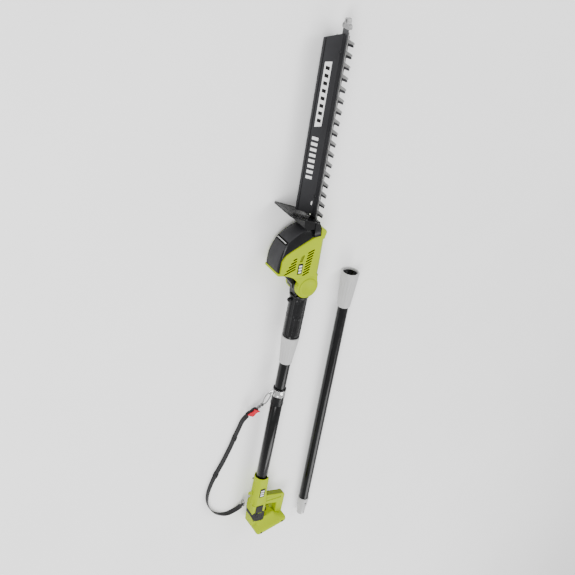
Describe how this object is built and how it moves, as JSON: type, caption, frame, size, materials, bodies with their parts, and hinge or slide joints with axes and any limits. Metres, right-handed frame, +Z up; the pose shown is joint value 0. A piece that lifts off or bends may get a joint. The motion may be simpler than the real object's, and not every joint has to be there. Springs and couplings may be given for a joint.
{
  "type": "pole hedge trimmer",
  "caption": "Cordless pole hedge trimmer with tilting head, reciprocating blades, cuttings sweeper, rear loop handle, shoulder strap and a loose extension tube.",
  "frame": {"origin": "bottom centre of the box round the trimmer and its loose extension tube, without the strap", "axes": "+X along the pole towards the blade tip, +Y towards the strap's side, +Z up; the trimmer lies on its side"},
  "size_m": [1.6746, 0.398, 0.0941],
  "materials": {
    "lime_plastic": "satin injection-moulded lime shells with a fine grain",
    "black_plastic": "satin black moulded plastic",
    "charcoal_plastic": "matt charcoal moulded plastic",
    "grey_plastic": "light grey moulded nylon",
    "soft_rubber": "dark grey textured rubber overmould",
    "black_pole": "gloss black coated tube",
    "blade_steel": "ground blade steel",
    "dark_steel": "dark phosphated steel",
    "bright_metal": "bright plated wire and band",
    "cast_alloy": "cast alloy",
    "badge_plate": "plain silver and black badge with no lettering",
    "red_plastic": "red moulded release",
    "strap_webbing": "woven black nylon webbing",
    "circuit_board": "green circuit board",
    "copper_cable": "black cable sheath"
  },
  "bodies": {
    "pole": {"pole_tube": "black_pole", "pole_sleeve": "black_pole", "strap_clamp": "black_plastic", "clamp_band": "bright_metal", "power_cable": "copper_cable", "pole_socket": "black_plastic", "rear_housing_near": "lime_plastic", "rear_housing_far": "lime_plastic", "grip_overmould": "soft_rubber", "switch_body": "black_plastic", "control_board": "circuit_board", "terminal_block": "black_plastic", "pole_gland": "black_plastic", "rear_badge": "badge_plate", "strap_lug": "dark_steel", "housing_screw_1": "dark_steel", "housing_screw_2": "dark_steel", "snap_hook": "bright_metal", "swivel_stem": "bright_metal", "strap_buckle": "black_plastic", "strap_webbing": "strap_webbing", "strap_link": "bright_metal"},
    "trigger": {"trigger": "black_plastic"},
    "lock_off": {"lock_off_button": "lime_plastic"},
    "tool_collar": {"tool_collar": "grey_plastic"},
    "head_section": {"front_grip": "black_plastic", "head_pole": "black_pole", "section_plug": "grey_plastic", "yoke": "black_plastic", "pivot_pin": "dark_steel"},
    "head": {"head_housing_near": "lime_plastic", "head_housing_far": "lime_plastic", "knuckle_cap_near": "lime_plastic", "knuckle_cap_far": "lime_plastic", "motor_cover": "charcoal_plastic", "cover_trim": "bright_metal", "hand_guard": "black_plastic", "gearcase": "cast_alloy", "motor": "dark_steel", "blade_bar": "blade_steel", "blade_bolt_1": "dark_steel", "blade_bolt_2": "dark_steel", "tip_guard": "cast_alloy", "debris_sweeper": "charcoal_plastic", "head_badge": "badge_plate", "head_screw_1": "dark_steel", "head_screw_2": "dark_steel"},
    "tilt_lever": {"tilt_lever": "black_plastic"},
    "upper_blade": {"upper_blade": "blade_steel"},
    "lower_blade": {"lower_blade": "dark_steel"},
    "gear": {"drive_gear": "dark_steel", "crank_cam": "dark_steel"},
    "pinion": {"drive_pinion": "dark_steel"},
    "snap_gate": {"snap_gate": "bright_metal"},
    "buckle_release": {"buckle_release": "red_plastic"},
    "extension": {"extension_tube": "black_pole", "extension_plug": "grey_plastic", "extension_socket": "grey_plastic"},
    "extension_collar": {"extension_collar": "grey_plastic"},
    "extension_button": {"extension_button": "bright_metal"}
  },
  "joints": [
    {"name": "trigger_press", "type": "slide", "parent": "pole", "child": "trigger", "axis": [0, 1, 0], "range_m": [0, 0.005], "stiffness_N_per_m": 900, "springref_m": -0.004},
    {"name": "lock_off_press", "type": "slide", "parent": "pole", "child": "lock_off", "axis": [0, 0, -1], "range_m": [0, 0.004], "stiffness_N_per_m": 700, "springref_m": -0.003},
    {"name": "tool_collar_twist", "type": "hinge", "parent": "pole", "child": "tool_collar", "pos_m": [-0.10454, 0.061, 0.0471], "axis": [1, 0, 0], "range_deg": [0, 120]},
    {"name": "coupling_release", "type": "slide", "parent": "pole", "child": "head_section", "axis": [1, 0, 0], "range_m": [0, 0.075]},
    {"name": "head_tilt", "type": "hinge", "parent": "head_section", "child": "head", "pos_m": [0.11546, 0.061, 0.0471], "axis": [0, 0, 1], "range_deg": [-76.8, 28.2]},
    {"name": "tilt_lever_squeeze", "type": "hinge", "parent": "head", "child": "tilt_lever", "pos_m": [0.15333, 0.12824, 0.0471], "axis": [0, 0, 1], "range_deg": [-8, 0], "stiffness_Nm_per_rad": 1.2, "springref_deg": 8.59},
    {"name": "upper_blade_stroke", "type": "slide", "parent": "head", "child": "upper_blade", "axis": [0.9995, 0.0319, 0], "range_m": [-0.013, 0.003]},
    {"name": "lower_blade_stroke", "type": "slide", "parent": "head", "child": "lower_blade", "axis": [0.9995, 0.0319, 0], "range_m": [-0.003, 0.013]},
    {"name": "pinion_spin", "type": "hinge", "parent": "head", "child": "pinion", "pos_m": [0.20586, 0.07189, 0.0471], "axis": [-0.0319, 0.9995, 0], "continuous": true},
    {"name": "gear_spin", "type": "hinge", "parent": "head", "child": "gear", "pos_m": [0.23314, 0.07276, 0.0471], "axis": [-0.0319, 0.9995, 0], "continuous": true},
    {"name": "snap_gate_open", "type": "hinge", "parent": "pole", "child": "snap_gate", "pos_m": [-0.29507, 0.10495, 0.03882], "axis": [-0.3434, -0.9392, 0], "range_deg": [0, 16], "stiffness_Nm_per_rad": 0.02, "springref_deg": -17.19},
    {"name": "buckle_release_lift", "type": "hinge", "parent": "pole", "child": "buckle_release", "pos_m": [-0.34612, 0.13183, 0.02655], "axis": [-0.4695, -0.8829, 0], "range_deg": [0, 50], "stiffness_Nm_per_rad": 0.03, "springref_deg": -22.92},
    {"name": "extension_lift", "type": "slide", "parent": "pole", "child": "extension", "axis": [0, 0, 1], "range_m": [0, 0.3]},
    {"name": "extension_collar_twist", "type": "hinge", "parent": "extension", "child": "extension_collar", "pos_m": [0.0645, -0.12092, 0.02659], "axis": [0.9992, 0.0384, 0.0101], "range_deg": [0, 120]},
    {"name": "extension_button_press", "type": "slide", "parent": "extension", "child": "extension_button", "axis": [0.0101, 0.0004, -0.9999], "range_m": [0, 0.0025], "stiffness_N_per_m": 700, "springref_m": -0.003}
  ],
  "couplings": [
    {"joint": "lower_blade_stroke", "follows": "upper_blade_stroke", "ratio": -1},
    {"joint": "gear_spin", "follows": "pinion_spin", "ratio": -0.36667}
  ]
}
